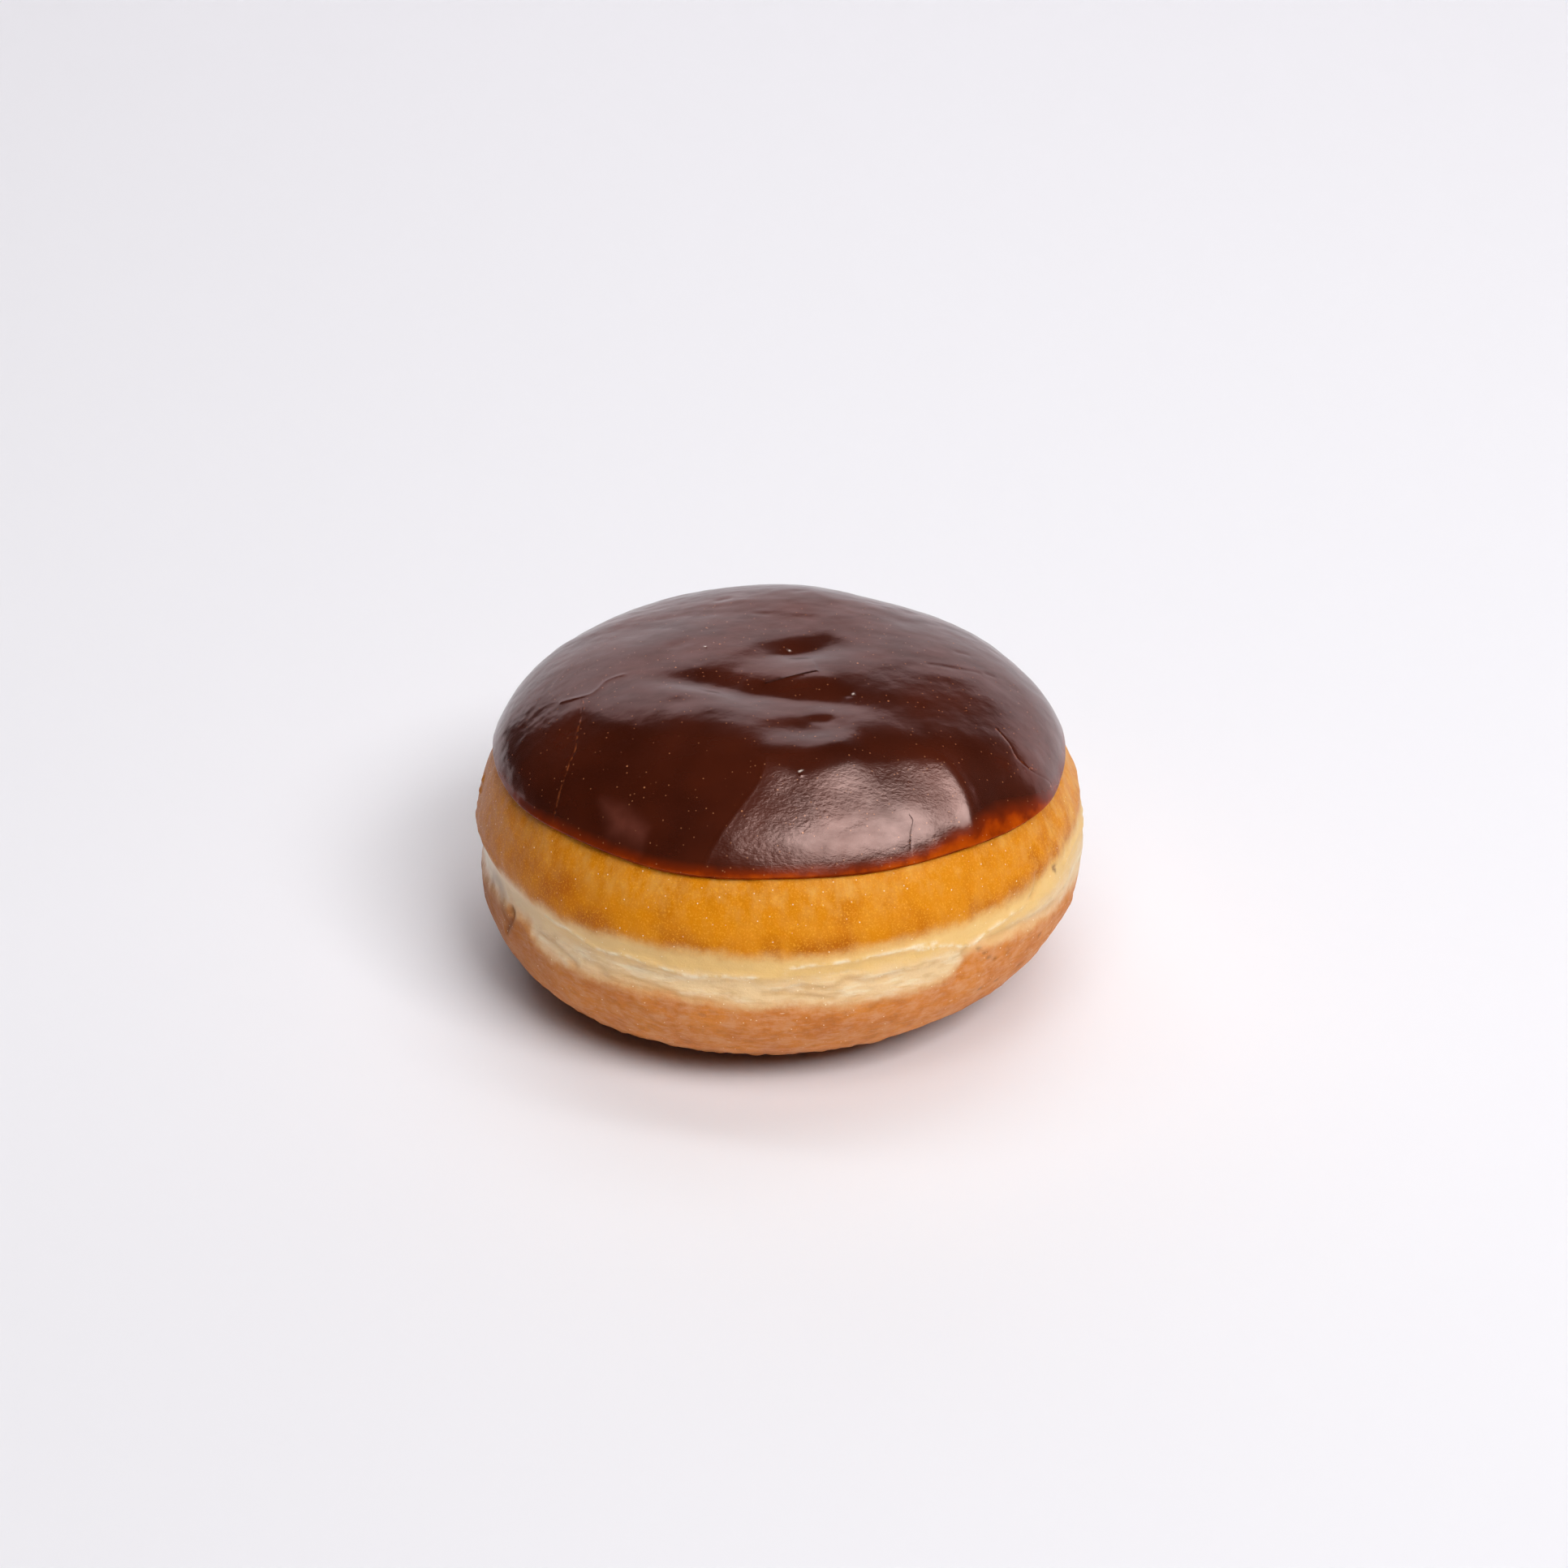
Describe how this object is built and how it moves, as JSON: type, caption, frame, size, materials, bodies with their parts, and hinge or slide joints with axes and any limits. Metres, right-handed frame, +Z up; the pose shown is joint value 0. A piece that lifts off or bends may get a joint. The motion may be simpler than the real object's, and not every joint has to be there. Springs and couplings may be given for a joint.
{
  "type": "filled iced doughnut",
  "caption": "Round filled doughnut without a hole: a fried dough cushion with a pale waist, topped with a thin glossy cap of chocolate icing.",
  "frame": {"origin": "middle of the doughnut's outline, on the surface that it rests on", "axes": "+Z up through the iced crown; -Y is the front, the side that the picture shows; +X is its right"},
  "size_m": [0.092, 0.0918, 0.052],
  "materials": {
    "dough": "fried dough crust, golden brown with a pale waist, soft sheen",
    "icing": "set chocolate icing, dark brown, glossy"
  },
  "bodies": {
    "root": {"dough": "dough", "icing": "icing"}
  },
  "joints": []
}
